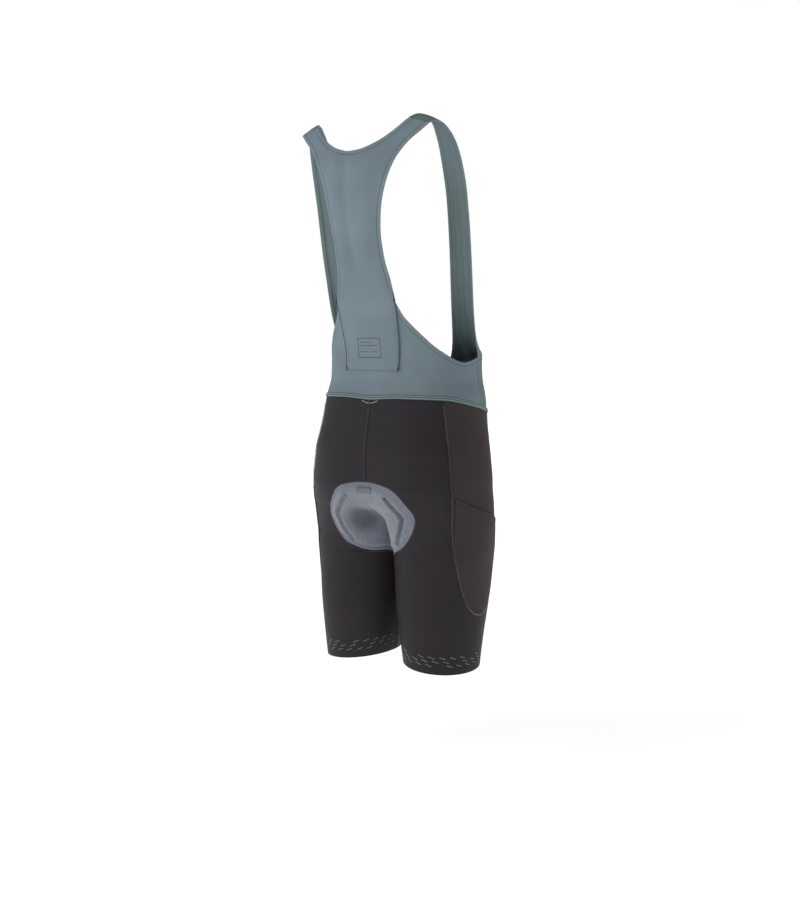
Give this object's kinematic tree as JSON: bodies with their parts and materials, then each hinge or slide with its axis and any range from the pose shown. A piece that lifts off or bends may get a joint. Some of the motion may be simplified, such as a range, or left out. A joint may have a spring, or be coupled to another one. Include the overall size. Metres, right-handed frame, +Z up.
{
  "type": "cycling bib shorts",
  "caption": "Men's cycling bib shorts in their worn form with a racerback yoke, a lower back pocket, mesh side panels with thigh pockets and a padded seat insert.",
  "frame": {"origin": "middle of the line between the two shoulder ridges, where the straps hang on the wearer", "axes": "+Z up, -Y to the wearer's front, +X to the wearer's left"},
  "size_m": [0.345, 0.264, 0.9217],
  "materials": {
    "bib_cloth": "matte fine knit",
    "seam_strip": "coverstitched knit",
    "leg_cloth": "smooth compressive knit",
    "side_mesh": "open mesh knit",
    "pad_foam": "brushed knit over foam"
  },
  "bodies": {
    "root": {"leg_left": "leg_cloth", "leg_right": "leg_cloth", "side_panel_left": "side_mesh", "side_panel_right": "side_mesh", "thigh_pocket_left": "side_mesh", "thigh_pocket_right": "side_mesh", "seat_pad": "pad_foam", "waist_seam_strip": "seam_strip", "back_band": "bib_cloth", "back_yoke": "bib_cloth", "front_left": "bib_cloth", "front_right": "bib_cloth"}
  },
  "joints": []
}
